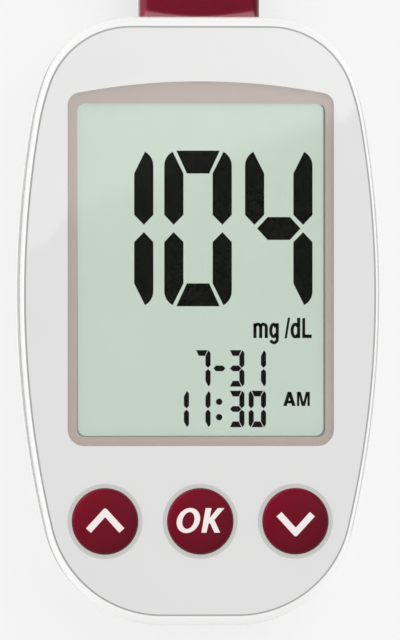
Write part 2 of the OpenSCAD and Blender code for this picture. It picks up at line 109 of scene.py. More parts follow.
bpy.ops.mesh.primitive_plane_add(size=4)
floor = bpy.context.object
floor.name = "floor"
table_top, table_shader = plain_material("table_top", FLOOR_COLOUR, 0.6)
table_shader.inputs["Emission Color"].default_value = (1, 1, 1, 1)
table_shader.inputs["Emission Strength"].default_value = FLOOR_GLOW
floor.data.materials.append(table_top)


def lamp(name, place, size, power):
    """A square lamp that faces the meter."""
    direction = LOOK_AT - Vector(place)
    bpy.ops.object.light_add(type="AREA", location=place,
                             rotation=direction.to_track_quat("-Z", "Y").to_euler())
    light = bpy.context.object
    light.name = name
    light.data.size = size
    light.data.energy = power
    return light


lamp("table_lamp", place=(0.5, 0.5, 1.1), size=0.8, power=3.0).visible_glossy = False
side_lit = bpy.data.collections.new("lit_from_the_side")
side_lamp = lamp("side_lamp", place=(-0.95, 0.92, 0.5), size=1.1, power=40.0)
side_lamp.light_linking.receiver_collection = side_lit
side_lamp.visible_glossy = False
flank_lit = bpy.data.collections.new("lit_from_below")
for name, place, power in (("left_fill", (-1.2, 0, 0.35), 5.5), ("right_fill", (1.2, 0, 0.35), 3.0)):
    fill = lamp(name, place, size=0.8, power=power)
    fill.light_linking.receiver_collection = flank_lit
    fill.visible_glossy = False


def mirrored_card(name, corners, radiance, receivers):
    """A glowing sheet that shows only as a reflection, in the pieces of its own collection."""
    bpy.ops.mesh.primitive_plane_add(size=1)
    card = bpy.context.object
    card.name = name
    for vert, corner in zip(card.data.vertices, corners):
        vert.co = corner
    material, shader = plain_material(name + "_glow", (0, 0, 0, 1))
    shader.inputs["Emission Color"].default_value = (1, 1, 1, 1)
    shader.inputs["Emission Strength"].default_value = radiance
    card.data.materials.append(material)
    card.visible_camera = card.visible_diffuse = card.visible_shadow = False
    card.visible_transmission = card.visible_volume_scatter = False
    card.light_linking.receiver_collection = receivers
    return material, shader


def upright_card(name, azimuth, distance, half_width, low, high, radiance, receivers):
    """A card that stands upright round the meter, facing it."""
    turn = math.radians(azimuth)
    mid = Vector((math.cos(turn), math.sin(turn), 0)) * distance
    across = Vector((-math.sin(turn), math.cos(turn), 0)) * half_width
    corners = [mid - across, mid + across, mid - across, mid + across]
    places = [(corner.x, corner.y, z) for corner, z in zip(corners, (low, low, high, high))]
    mirrored_card(name, places, radiance, receivers)


# The sheen's card hangs in the middle air. Its lower edge, mirrored in the face, is the sheen's edge.
CARD_HEIGHT = 50 * MM
SHEEN_EDGE = [Vector((-40, 7.7)) * MM, Vector((40, 37.0)) * MM]
SHEEN_TOP = 62 * MM
SHEEN_LEFT, SHEEN_RIGHT = -15 * MM, 20 * MM
SHEEN_LEFT_GLOW, SHEEN_RIGHT_GLOW = 1.4, 2.1


def mirrored_place(point):
    """Where the camera's ray to a point of the face meets the card's height after the face mirrors it."""
    share = CARD_HEIGHT / (camera.location.z - LOOK_AT.z)
    return (point[0] + (point[0] - camera.location.x) * share,
            point[1] + (point[1] - camera.location.y) * share, LOOK_AT.z + CARD_HEIGHT)


face_pieces = bpy.data.collections.new("mirrors_the_sheen")
key_pieces = bpy.data.collections.new("mirrors_the_left")
head_pieces = bpy.data.collections.new("mirrors_the_back")
low_left, low_right = SHEEN_EDGE
sheen_corners = (low_left, low_right, (low_left[0], SHEEN_TOP), (low_right[0], SHEEN_TOP))
sheen, sheen_shader = mirrored_card("sheen_card", [mirrored_place(corner) for corner in sheen_corners],
                                    SHEEN_LEFT_GLOW, face_pieces)
# The card is brighter towards the right.
tree = sheen.node_tree
across = tree.nodes.new("ShaderNodeSeparateXYZ")
tree.links.new(tree.nodes.new("ShaderNodeTexCoord").outputs["Object"], across.inputs[0])
glow = tree.nodes.new("ShaderNodeMapRange")
glow.inputs["From Min"].default_value = SHEEN_LEFT
glow.inputs["From Max"].default_value = SHEEN_RIGHT
glow.inputs["To Min"].default_value = SHEEN_LEFT_GLOW
glow.inputs["To Max"].default_value = SHEEN_RIGHT_GLOW
tree.links.new(across.outputs["X"], glow.inputs["Value"])
tree.links.new(glow.outputs["Result"], sheen_shader.inputs["Emission Strength"])
upright_card("left_card", azimuth=157, distance=1.0, half_width=0.75, low=0.0, high=0.95,
             radiance=2.0, receivers=key_pieces)
upright_card("head_left_card", azimuth=180, distance=0.3, half_width=0.3, low=0.0, high=1.7,
             radiance=1.0, receivers=head_pieces)
upright_card("head_back_card", azimuth=90, distance=0.5, half_width=0.6, low=0.05, high=0.9,
             radiance=3.5, receivers=head_pieces)

# Rear housing ----------------------------
# The lower shell, moulded in white ABS with a fine satin texture. It holds the battery recess with
# its hook slots, four screw pockets and the notch for the ejector, and the meter lies on it.
TOP_FLAT = 10.1 * MM
# Radius in millimetres, turn in degrees and steps of each arc, from the top end round to the bottom end
SIDE_ARCS = [(12.4, 70.4, 22), (36, 10, 4), (147, 22.9, 26), (16.45, 76.7, 26)]
PARTING_Z = 8.6 * MM
CREST_TOP = PARTING_Z + 0.5 * MM
BELLY_Z = 6.4 * MM
SIDE_BULGE = 1.15 * MM
END_BULGE = 1.55 * MM
BACK_INSET = 5 * MM
END_DRAW = 2.6 * MM
WALL_IN = -1.1 * MM
END_WALL_IN = -0.6 * MM
INNER_DRAW = 5.3 * MM
END_POWER = 1.3
FLOOR_TOP = 2 * MM
BASE_STEPS = 18
LIP_IN, LIP_END, LIP_DEEP = -0.3 * MM, 0.2 * MM, 1.45 * MM
RECESS_TOP = 1.3 * MM
DOOR_HALF_W = 13.05 * MM
DOOR_TOP_Y = -9.05 * MM
DOOR_CORNER_R = 2.2 * MM
DOOR_GAP = 0.15 * MM
PAST_END_Y = -60 * MM
CELL_Y, CELL_WELL_R, CELL_WELL_TOP = -24 * MM, 10.3 * MM, 5.2 * MM
SCREW_PLACES = [(13.5 * MM, 37 * MM), (-13.5 * MM, 37 * MM), (8.5 * MM, -37.9 * MM), (-8.5 * MM, -37.9 * MM)]
SCREW_POCKET_R, SCREW_BORE_R, SCREW_SEAT = 2 * MM, 1.15 * MM, 3.4 * MM
BOSS_R, BOSS_FOOT, BOSS_TOP = 2.6 * MM, 1.5 * MM, 8 * MM
POST_R, POST_Y, POST_TOP = 1.2 * MM, 9.5 * MM, 7 * MM
HOOK_X = (11.7 * MM, 12.9 * MM)
HOOK_PLACES = (-15 * MM, -33 * MM)
HOOK_STEM, HOOK_LONG = 1.5 * MM, 4 * MM
HOOK_ROOM, HOOK_WAY, HOOK_SEAT, HOOK_TOP = 0.12 * MM, 5.1 * MM, 4.15 * MM, 3.05 * MM
STRIP_Z = 6.1 * MM
NOTCH_HALF_W, NOTCH_HALF_H, NOTCH_Y = 8.3 * MM, 1.85 * MM, (40.5 * MM, 46 * MM)


def half_outline(offset):
    """The right half of the face's outline moved out by offset: a flat, then arcs that meet in line."""
    x, y, heading = TOP_FLAT, 0.0, 0.0
    points = [(x, offset)]
    for radius, turn, steps in SIDE_ARCS:
        radius, turn = radius * MM, math.radians(turn)
        cx, cy = x - radius * math.sin(heading), y - radius * math.cos(heading)
        for step in range(1, steps + 1):
            angle = heading + turn * step / steps
            reach = radius + offset
            points.append((cx + reach * math.sin(angle), cy + reach * math.cos(angle)))
        heading += turn
        x, y = cx + radius * math.sin(heading), cy + radius * math.cos(heading)
    return points


FACE_HALF_H = -half_outline(0)[-1][1] / 2


def outline(side, end):
    """The face's outline moved out by side, and drawn out lengthways until both ends stand end past it."""
    stretch = (FACE_HALF_H + end) / (FACE_HALF_H + side)
    right = [(x, (y + FACE_HALF_H) * stretch) for x, y in half_outline(side)]
    return [(-x, y) for x, y in right] + right[::-1]


def level(z, side, end):
    """The outline at one height of a housing."""
    return [(x, y, z) for x, y in outline(side, end)]


def deselect_all():
    for selected in list(bpy.context.selected_objects):
        selected.select_set(False)


def stacked(name, rings):
    """A closed solid: a filled circle is set on the first ring and extruded from ring to ring."""
    deselect_all()
    bpy.ops.mesh.primitive_circle_add(vertices=len(rings[0]), fill_type="NGON", radius=MM)
    piece = bpy.context.object
    piece.name = piece.data.name = name
    bpy.ops.object.mode_set(mode="EDIT")
    for number, ring in enumerate(rings):
        if number:
            bpy.ops.mesh.extrude_region_move()
        edited = bmesh.from_edit_mesh(piece.data)
        cap = next(face for face in edited.faces if face.select)
        for vert, place in zip(list(cap.verts), ring):
            vert.co = place
        bmesh.update_edit_mesh(piece.data)
    bpy.ops.mesh.select_all(action="SELECT")
    bpy.ops.mesh.normals_make_consistent(inside=False)
    bpy.ops.object.mode_set(mode="OBJECT")
    return piece


def prism(name, points, low, high):
    """An upright solid with the given outline."""
    return stacked(name, [[(x, y, z) for x, y in points] for z in (low, high)])


def circle(radius, steps=48, centre=(0, 0)):
    turns = [math.tau * step / steps for step in range(steps)]
    return [(centre[0] + radius * math.cos(a), centre[1] + radius * math.sin(a)) for a in turns]


def block(name, low, high):
    """A box between two corners."""
    deselect_all()
    bpy.ops.mesh.primitive_cube_add(size=1)
    piece = bpy.context.object
    piece.name = piece.data.name = name
    for vert in piece.data.vertices:
        vert.co = [high[i] if vert.co[i] > 0 else low[i] for i in range(3)]
    return piece


def apply_modifier(piece, kind, **settings):
    modifier = piece.modifiers.new(kind.lower(), kind)
    for name, value in settings.items():
        setattr(modifier, name, value)
    deselect_all()
    piece.select_set(True)
    bpy.context.view_layer.objects.active = piece
    bpy.ops.object.modifier_apply(modifier=modifier.name)


def combine(piece, tools, operation="DIFFERENCE"):
    """Cuts the tools from a piece, or joins or crosses them with it, and removes them."""
    for tool in tools:
        apply_modifier(piece, "BOOLEAN", operation=operation, solver="EXACT", object=tool)
        bpy.data.objects.remove(tool)


def smooth(piece, angle=30):
    deselect_all()
    piece.select_set(True)
    bpy.context.view_layer.objects.active = piece
    bpy.ops.object.shade_smooth_by_angle(angle=math.radians(angle))


def rounded_corners(low, high, radius, steps=8):
    """A rectangle's outline with round corners, anticlockwise."""
    points = []
    corners = [(high[0], high[1]), (low[0], high[1]), (low[0], low[1]), (high[0], low[1])]
    for turn, (x, y) in enumerate(corners):
        cx = x - math.copysign(radius, x - (low[0] + high[0]) / 2)
        cy = y - math.copysign(radius, y - (low[1] + high[1]) / 2)
        for step in range(steps + 1):
            angle = math.radians(90) * (turn + step / steps)
            points.append((cx + radius * math.cos(angle), cy + radius * math.sin(angle)))
    return points


def base_levels(steps=BASE_STEPS):
    """The rounded underside, from the flat of the back up to the widest line."""
    levels = []
    for step in range(steps + 1):
        turn = math.radians(90) * step / steps
        fall = 1 - math.sin(turn)
        levels.append(level(BELLY_Z * (1 - math.cos(turn)), SIDE_BULGE - (BACK_INSET + SIDE_BULGE) * fall,
                            END_BULGE - END_DRAW * fall ** END_POWER))
    return levels


def door_outline(gap):
    """The battery door's straight sides and rounded top, open past the bottom end."""
    return rounded_corners((-DOOR_HALF_W - gap, PAST_END_Y), (DOOR_HALF_W + gap, DOOR_TOP_Y + gap),
                           DOOR_CORNER_R + gap)


# The flank ends in a crest with the shadow groove behind it: height, side offset, end offset
CREST = [(7.4, 1.14, 1.55), (8.4, 1.12, 1.55), (8.8, 1.1, 1.52), (9.0, 1.08, 1.47), (9.07, 1.06, 1.44),
         (9.1, 1.02, 1.4), (9.1, 0.97, 1.3), (9.08, 0.95, 1.29), (8.92, 0.95, 1.29), (8.92, 0.68, 1.02),
         (8.6, 0.68, 1.02)]
inner_levels = [level(PARTING_Z, LIP_IN, LIP_END), level(PARTING_Z - LIP_DEEP, LIP_IN, LIP_END),
                level(PARTING_Z - LIP_DEEP, WALL_IN, END_WALL_IN)]
for step in range(6, -1, -1):
    turn = math.radians(15 * step)
    fall = 1 - math.sin(turn)
    inner_levels.append(level(FLOOR_TOP + (BELLY_Z - FLOOR_TOP) * (1 - math.cos(turn)),
                              WALL_IN - INNER_DRAW * fall, END_WALL_IN - END_DRAW * fall ** END_POWER))
crest_levels = [level(z * MM, side * MM, end * MM) for z, side, end in CREST]
rear_housing = stacked("rear_housing_shell", base_levels() + crest_levels + inner_levels)
# The tray round the cell fills the shell up to the walls: height, side offset, end offset
TRAY = [(1.5, -3.4, -0.8), (3.3, -1.3, 0.1), (6.4, -0.2, 0.4)]
tray = stacked("tray", [level(z * MM, side * MM, end * MM) for z, side, end in TRAY])
combine(tray, [block("tray_reach", (-14 * MM, -45 * MM, 0), (14 * MM, -8 * MM, 7.4 * MM))], "INTERSECT")
bosses = [prism("boss", circle(BOSS_R, centre=place), BOSS_FOOT, BOSS_TOP) for place in SCREW_PLACES]
bosses.append(prism("spring_post", circle(POST_R, centre=(0, POST_Y)), BOSS_FOOT, POST_TOP))
combine(rear_housing, [tray] + bosses, "UNION")
cuts = [prism("recess", door_outline(DOOR_GAP), -MM, RECESS_TOP),
        prism("cell_well", circle(CELL_WELL_R, 96, (0, CELL_Y)), -MM, CELL_WELL_TOP),
        block("neck_notch", (-NOTCH_HALF_W, NOTCH_Y[0], STRIP_Z - NOTCH_HALF_H),
              (NOTCH_HALF_W, NOTCH_Y[1], PARTING_Z + 1.4 * MM))]
for place in SCREW_PLACES:
    cuts.append(prism("screw_pocket", circle(SCREW_POCKET_R, centre=place), -MM, SCREW_SEAT))
    cuts.append(prism("screw_bore", circle(SCREW_BORE_R, centre=place), SCREW_SEAT - 0.4 * MM, BOSS_TOP + MM))
for side in (-1, 1):
    for y in HOOK_PLACES:
        near, far = sorted((side * (HOOK_X[0] - HOOK_ROOM), side * (HOOK_X[1] + HOOK_ROOM)))
        cuts.append(block("hook_way", (near, y - HOOK_WAY, RECESS_TOP - 0.5 * MM),
                          (far, y + HOOK_STEM + 0.1 * MM, HOOK_TOP)))
        cuts.append(block("hook_seat", (near, y, FLOOR_TOP), (far, y + HOOK_SEAT, HOOK_TOP)))
combine(rear_housing, cuts)
smooth(rear_housing)
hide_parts("rear_housing")
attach(rear_housing, "meter")


def node_group(name, inputs, outputs):
    """An empty shader group with the named sockets, and its input and output nodes."""
    group = bpy.data.node_groups.new(name, "ShaderNodeTree")
    for label, kind, value in inputs:
        socket = group.interface.new_socket(label, in_out="INPUT", socket_type=kind)
        socket.default_value = value
    for label, kind in outputs:
        group.interface.new_socket(label, in_out="OUTPUT", socket_type=kind)
    return group, group.nodes.new("NodeGroupInput"), group.nodes.new("NodeGroupOutput")


def noise(group, source, scale, detail=2.0):
    """A noise pattern over a vector socket."""
    texture = group.nodes.new("ShaderNodeTexNoise")
    texture.inputs["Scale"].default_value = scale
    texture.inputs["Detail"].default_value = detail
    group.links.new(source, texture.inputs["Vector"])
    return texture.outputs["Fac"]


def spread(group, source, low, high, from_low=0.3, from_high=0.7):
    """Spreads the middle of a noise pattern over low to high. Low and high are numbers or sockets."""
    ramp = group.nodes.new("ShaderNodeMapRange")
    ramp.inputs["From Min"].default_value = from_low
    ramp.inputs["From Max"].default_value = from_high
    for label, value in (("To Min", low), ("To Max", high)):
        if isinstance(value, (int, float)):
            ramp.inputs[label].default_value = value
        else:
            group.links.new(value, ramp.inputs[label])
    group.links.new(source, ramp.inputs["Value"])
    return ramp.outputs["Result"]


# Moulded plastic: faint flow mottling in its colour, handling smears in its gloss, tool grain in its
# surface. Scales are in patterns to a metre.
FLOW_SCALE, SMEAR_SCALE, GRAIN_SCALE = 90, 160, 3200
moulded, moulded_in, moulded_out = node_group("moulded_surface", [
    ("Colour", "NodeSocketColor", (0.8, 0.8, 0.8, 1)), ("Mottle", "NodeSocketFloat", 0.02),
    ("Gloss low", "NodeSocketFloat", 0.25), ("Gloss high", "NodeSocketFloat", 0.35),
    ("Grain", "NodeSocketFloat", 0.5)],
    [("Colour", "NodeSocketColor"), ("Roughness", "NodeSocketFloat"), ("Height", "NodeSocketFloat")])
coordinates = moulded.nodes.new("ShaderNodeTexCoord").outputs["Object"]
flow = spread(moulded, noise(moulded, coordinates, FLOW_SCALE), -1, 1)
tint = moulded.nodes.new("ShaderNodeMath")
tint.operation = "MULTIPLY_ADD"
tint.inputs[2].default_value = 1
moulded.links.new(flow, tint.inputs[0])
moulded.links.new(moulded_in.outputs["Mottle"], tint.inputs[1])
shade = moulded.nodes.new("ShaderNodeVectorMath")
shade.operation = "SCALE"
moulded.links.new(moulded_in.outputs["Colour"], shade.inputs[0])
moulded.links.new(tint.outputs[0], shade.inputs["Scale"])
moulded.links.new(shade.outputs[0], moulded_out.inputs["Colour"])
smears = spread(moulded, noise(moulded, coordinates, SMEAR_SCALE, detail=4), moulded_in.outputs["Gloss low"],
                moulded_in.outputs["Gloss high"], from_low=0.15, from_high=0.85)
moulded.links.new(smears, moulded_out.inputs["Roughness"])
grain = moulded.nodes.new("ShaderNodeMath")
grain.operation = "MULTIPLY"
moulded.links.new(noise(moulded, coordinates, GRAIN_SCALE, detail=1), grain.inputs[0])
moulded.links.new(moulded_in.outputs["Grain"], grain.inputs[1])
moulded.links.new(grain.outputs[0], moulded_out.inputs["Height"])


def grouped_material(name, group, values, relief=4e-6, glow=0.0, **shader_values):
    """A Principled material fed by a surface group. Relief is the depth of the group's height in metres,
    and glow the share of its colour that the piece gives off as painted light."""
    made, shader = plain_material(name, (0.8, 0.8, 0.8, 1))
    tree = made.node_tree
    surface = tree.nodes.new("ShaderNodeGroup")
    surface.node_tree = group
    for label, value in values.items():
        surface.inputs[label].default_value = value
    tree.links.new(surface.outputs["Colour"], shader.inputs["Base Color"])
    tree.links.new(surface.outputs["Roughness"], shader.inputs["Roughness"])
    # Painted light: the piece gives off a share of its own colour though it is no lamp.
    if glow:
        tree.links.new(surface.outputs["Colour"], shader.inputs["Emission Color"])
        shader.inputs["Emission Strength"].default_value = glow
    bump = tree.nodes.new("ShaderNodeBump")
    bump.inputs["Distance"].default_value = relief
    tree.links.new(surface.outputs["Height"], bump.inputs["Height"])
    tree.links.new(bump.outputs["Normal"], shader.inputs["Normal"])
    for label, value in shader_values.items():
        shader.inputs[label.replace("_", " ")].default_value = value
    return made


def plastic(name, colour, mottle, gloss, grain, **finish):
    """A moulded or printed plastic. Gloss is its lowest and its highest roughness."""
    values = {"Colour": (*colour, 1), "Mottle": mottle, "Gloss low": gloss[0], "Gloss high": gloss[1],
              "Grain": grain}
    return grouped_material(name, moulded, values, **finish)


def dress(piece, material):
    piece.data.materials.clear()
    piece.data.materials.append(material)


satin_white = plastic("satin_white_abs", (0.84, 0.84, 0.835), mottle=0.008, gloss=(0.36, 0.46),
                      grain=1.0, relief=8e-6)
dress(rear_housing, satin_white)
flank_lit.objects.link(rear_housing)

# Front housing ---------------------------
# The upper shell, moulded in the same white ABS but polished, and screwed to the rear one. Its flank
# leans in from the parting line and rolls over into the thin rim round the face; a deck inside
# carries the panel and the display.
FACE_Z = 15.7 * MM
RIM_Z = FACE_Z - 0.15 * MM
DECK_TOP = FACE_Z - 1.6 * MM
DECK_BOTTOM = DECK_TOP - 1.2 * MM
KEY_PITCH = 13.8 * MM
KEY_Y = -29 * MM
FLANK_Z = CREST_TOP + 0.35 * MM
FOOT_OUT, FOOT_END = 0.66 * MM, 1 * MM
RIM_OUT, SEAT_OUT = 0.1 * MM, 0.08 * MM
DISPLAY_HALF_W, DISPLAY_Y = 19.45 * MM, (-18.85 * MM, 34.05 * MM)
KEY_WAY_R = 5.05 * MM
WAY_LOW, WAY_HIGH = 12 * MM, 15 * MM
# Share of the way up, then what is left of the foot's offset at a side and of the bulge at an end
RIM_PROFILE = [(0, 1, 1), (0.1, 0.955, 1), (0.2, 0.91, 1), (0.38, 0.83, 1), (0.52, 0.755, 0.992),
               (0.66, 0.68, 0.97), (0.75, 0.61, 0.92), (0.83, 0.53, 0.85), (0.88, 0.455, 0.745),
               (0.925, 0.37, 0.6), (0.955, 0.275, 0.43), (0.98, 0.17, 0.28), (0.994, 0.09, 0.15),
               (1, 0.02, 0.03)]

front_levels = [level(PARTING_Z, FOOT_OUT, FOOT_END), level(CREST_TOP + 0.05 * MM, FOOT_OUT, FOOT_END),
                level(FLANK_Z - 0.06 * MM, FOOT_OUT, END_BULGE - 0.08 * MM)]
for rise, side_share, end_share in RIM_PROFILE:
    front_levels.append(level(FLANK_Z + (RIM_Z - FLANK_Z) * rise, RIM_OUT + (FOOT_OUT - RIM_OUT) * side_share,
                              RIM_OUT + (END_BULGE - RIM_OUT) * end_share))
front_levels += [level(z, SEAT_OUT, SEAT_OUT) for z in (RIM_Z - 0.05 * MM, DECK_TOP)]
front_housing = stacked("front_housing_shell", front_levels)
hollow = stacked("hollow", [level(z, WALL_IN, END_WALL_IN) for z in (PARTING_Z - 3 * MM, DECK_BOTTOM)])
cuts = [hollow, block("display_way", (-DISPLAY_HALF_W, DISPLAY_Y[0], WAY_LOW),
                      (DISPLAY_HALF_W, DISPLAY_Y[1], WAY_HIGH))]
for x in (-1, 0, 1):
    cuts.append(prism("key_way", circle(KEY_WAY_R, 64, (x * KEY_PITCH, KEY_Y)), WAY_LOW, WAY_HIGH))
combine(front_housing, cuts)
smooth(front_housing)
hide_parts("front_housing")
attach(front_housing, "meter")
dress(front_housing, plastic("gloss_white_abs", (0.85, 0.85, 0.845), mottle=0.006, gloss=(0.22, 0.28),
                             grain=0.5))
flank_lit.objects.link(front_housing)

# Face panel ------------------------------
# A light grey plate of polished acrylic set into the front housing. A grey bead in the gap round it
# is painted shade: it stands for the gap's shadow and shows as the thin line round the face. It has a
# pocket for the lens and three for the rings.
PANEL_GAP = 0.14 * MM
PANEL_ROUND = 0.1 * MM
BEAD_Z = FACE_Z - 0.2 * MM
POCKET_Z = FACE_Z - 0.95 * MM
BEAD_OUT, BEAD_IN, BEAD_DEEP = 0.11 * MM, -0.18 * MM, 0.5 * MM
WINDOW_X, SURROUND_X = 0.18 * MM, 0.09 * MM
NEARLY_FLAT = 4.0
ARCH_STEPS, CORNER_STEPS = 16, 14
RING_R = 5.42 * MM


def window_outline(half_w, top, bottom, arch_r, top_r, low_r, offset):
    """An upright window with round corners and an arched top, moved out by offset."""
    w, top_r, low_r, arch_r = half_w + offset, top_r + offset, low_r + offset, arch_r + offset
    arch_y = top + offset - arch_r
    lean = math.asin((w - top_r) / (arch_r - top_r))
    corner_y = arch_y + (arch_r - top_r) * math.cos(lean)
    arch = [lean * k / ARCH_STEPS for k in range(1, ARCH_STEPS + 1)]
    points = [(arch_r * math.sin(a), arch_y + arch_r * math.cos(a)) for a in arch]
    shoulder = [lean + (math.pi / 2 - lean) * k / CORNER_STEPS for k in range(1, CORNER_STEPS + 1)]
    points += [(w - top_r + top_r * math.sin(a), corner_y + top_r * math.cos(a)) for a in shoulder]
    foot = [math.pi / 2 * (1 + k / CORNER_STEPS) for k in range(CORNER_STEPS + 1)]
    points += [(w - low_r + low_r * math.sin(a), bottom - offset + low_r + low_r * math.cos(a)) for a in foot]
    return [(-x, y) for x, y in points] + points[::-1]


def surround(offset):
    """The outline of the lens and of the film under it."""
    points = window_outline(19.3 * MM, 34.72 * MM, -18.1 * MM, 96 * MM, 1.85 * MM, 2.4 * MM, offset)
    return [(x + SURROUND_X, y) for x, y in points]


def clear_window(offset):
    """The outline of the clear part that the print leaves."""
    points = window_outline(18 * MM, 31.55 * MM, -16.8 * MM, NEARLY_FLAT, 1.1 * MM, 1.1 * MM, offset)
    return [(x + WINDOW_X, y) for x, y in points]


panel_levels = [level(DECK_TOP, -PANEL_GAP, -PANEL_GAP)]
for step in range(6):
    turn = math.radians(90) * step / 5
    inset = PANEL_GAP + PANEL_ROUND * (1 - math.cos(turn))
    panel_levels.append(level(FACE_Z - PANEL_ROUND * (1 - math.sin(turn)), -inset, -inset))
face_panel = stacked("face_panel_plate", panel_levels)
cuts = [prism("lens_pocket", surround(0), POCKET_Z, FACE_Z + MM),
        prism("window", clear_window(0.35 * MM), DECK_TOP - MM, FACE_Z + MM)]
for x in (-1, 0, 1):
    cuts.append(prism("ring_pocket", circle(RING_R, 96, (x * KEY_PITCH, KEY_Y)), DECK_TOP - MM, FACE_Z + MM))
combine(face_panel, cuts)
smooth(face_panel)
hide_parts("face_panel")
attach(face_panel, "meter")
dress(face_panel, plastic("panel_grey_acrylic", (0.785, 0.787, 0.783), mottle=0.006, gloss=(0.05, 0.09),
                          grain=0.3, relief=1e-6))
face_pieces.objects.link(face_panel)

# The gap is real and shades a little, and the bead's grey adds painted shade to it.
bead = prism("face_panel_gap_shade", outline(BEAD_OUT, BEAD_OUT), BEAD_Z - BEAD_DEEP, BEAD_Z)
combine(bead, [prism("inside", outline(BEAD_IN, BEAD_IN), BEAD_Z - MM, BEAD_Z + MM)])
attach(bead, "meter")
dress(bead, plastic("gap_shade_grey_paint", (0.45, 0.45, 0.45), mottle=0.03, gloss=(0.5, 0.6), grain=0.5,
                    relief=2e-6))

# Display lens and mask -------------------
# A clear acrylic lens, glued into the panel's pocket and flush with its face, over a thin film
# that is printed taupe round the window.
MASK_T = 0.1 * MM
FILM_GAP = 0.005 * MM
LENS_EDGE = 0.02 * MM

display_mask = prism("display_mask_film", surround(-FILM_GAP), POCKET_Z, POCKET_Z + MASK_T)
combine(display_mask, [prism("window", clear_window(0), POCKET_Z - MM, POCKET_Z + MM)])
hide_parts("display_mask")
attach(display_mask, "meter")
# The film glows with its own colour: painted light that keeps the pocket's walls from shading its edges.
dress(display_mask, plastic("taupe_print", (0.256, 0.217, 0.2), mottle=0.012, gloss=(0.1, 0.15),
                            grain=0.3, relief=1e-6, glow=1.0))
face_pieces.objects.link(display_mask)

lens_levels = [(POCKET_Z + MASK_T + LENS_EDGE, FILM_GAP), (FACE_Z - LENS_EDGE, FILM_GAP),
               (FACE_Z, FILM_GAP + LENS_EDGE)]
display_lens = stacked("display_lens_pane",
                       [[(x, y, z) for x, y in surround(-gap)] for z, gap in lens_levels])
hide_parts("display_lens")
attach(display_lens, "meter")

# Only the camera sees the pane's gloss; light goes straight through it to the display.
clear_acrylic, lens_shader = plain_material("clear_acrylic", (0.985, 0.99, 0.985, 1), 0.03)
lens_shader.inputs["Transmission Weight"].default_value = 1
lens_shader.inputs["IOR"].default_value = 1.08
tree = clear_acrylic.node_tree
ray = tree.nodes.new("ShaderNodeLightPath")
open_way = tree.nodes.new("ShaderNodeBsdfTransparent")
open_way.inputs["Color"].default_value = (0.97, 0.975, 0.97, 1)
pane = tree.nodes.new("ShaderNodeMixShader")
tree.links.new(ray.outputs["Is Camera Ray"], pane.inputs["Fac"])
tree.links.new(open_way.outputs[0], pane.inputs[1])
tree.links.new(lens_shader.outputs[0], pane.inputs[2])
tree.links.new(pane.outputs[0], tree.nodes["Material Output"].inputs["Surface"])
dress(display_lens, clear_acrylic)
face_pieces.objects.link(display_lens)

# Liquid crystal display ------------------
# Two glasses between films, held in a frame over the board. Through the polariser it reads pale
# grey green, and the segments that are switched on stand black on it: the result, its unit, the date
# and the clock. A grey line painted round its window stands for the shade that the film's edge casts
# on it, and the window shows a sliver of it.
LCD_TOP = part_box("lcd_polariser")[1][2]
INK_T = 0.02 * MM
INK_SHIFT = -0.02 * MM
# The polariser and reflector glow with their own colour: painted light that keeps the window's walls from
# shading them.
lcd_green = plastic("lcd_grey_green", (0.242, 0.279, 0.247), mottle=0.012, gloss=(0.1, 0.15), grain=0.3,
                    relief=1e-6, glow=1.5)
for node in ("lcd_polariser", "lcd_reflector"):
    dress(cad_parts[node], lcd_green)
    face_pieces.objects.link(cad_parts[node])
segment_black = plastic("segment_black", (0.0125, 0.013, 0.0105), mottle=0.05, gloss=(0.4, 0.5),
                        grain=0.2, relief=1e-6, Specular_IOR_Level=0.05)


def join(name, pieces):
    """Several meshes as one piece."""
    deselect_all()
    for piece in pieces:
        piece.select_set(True)
    bpy.context.view_layer.objects.active = pieces[0]
    if len(pieces) > 1:
        bpy.ops.object.join()
    joined = bpy.context.object
    joined.name = joined.data.name = name
    return joined


def ink(points):
    """One lit segment or printed shape on top of the display."""
    return prism("ink", [(x + INK_SHIFT, y) for x, y in points], LCD_TOP - INK_T / 2, LCD_TOP + INK_T)


# The segments' slants and rounding, in shares of a digit's stroke
TIP_DROP, ROUND_START, ROUND_R = 0.056, 0.786, 0.83
NIB_MID, NIB_SLANT, BAR_SLANT = 0.49, 0.52, 0.55


def upright_segment(x_out, y_mid, half_h, stroke, bar, nib, side, up):
    """One upright of a digit: pointed at nib from the middle, slanted and rounded at its far end."""
    outer_y, corner_r = half_h - ROUND_START * stroke, ROUND_R * stroke
    swing = math.asin((half_h - TIP_DROP * stroke - outer_y) / corner_r)
    shape = [(stroke, nib + NIB_SLANT * stroke), (NIB_MID * stroke, nib), (0, nib + NIB_SLANT * stroke)]
    for turn in (swing * k / 6 for k in range(7)):
        shape.append((corner_r * (1 - math.cos(turn)), outer_y + corner_r * math.sin(turn)))
    shape.append((stroke, half_h - bar))
    return [(x_out - side * x, y_mid + up * y) for x, y in shape]


def end_bar(x_mid, y_mid, half_h, long, stroke, bar, up):
    """The top or bottom bar of a digit."""
    short = long - BAR_SLANT * stroke
    return [(x_mid + x, y_mid + up * y) for x, y in
            ((-long, half_h), (-short, half_h - bar), (short, half_h - bar), (long, half_h))]


def middle_bar(x_mid, y_mid, long, stroke, bar):
    """The bar across a digit's middle, pointed at both ends, which is the date's dash too."""
    short = long - BAR_SLANT * stroke
    return [(x_mid - long, y_mid), (x_mid - short, y_mid + bar / 2), (x_mid + short, y_mid + bar / 2),
            (x_mid + long, y_mid), (x_mid + short, y_mid - bar / 2), (x_mid - short, y_mid - bar / 2)]


# Which bars each digit lights: top, upper right, lower right, bottom, lower left, upper left, middle
LIT = {"0": "abcdef", "1": "bc", "3": "abcdg", "4": "bcfg", "7": "abc"}


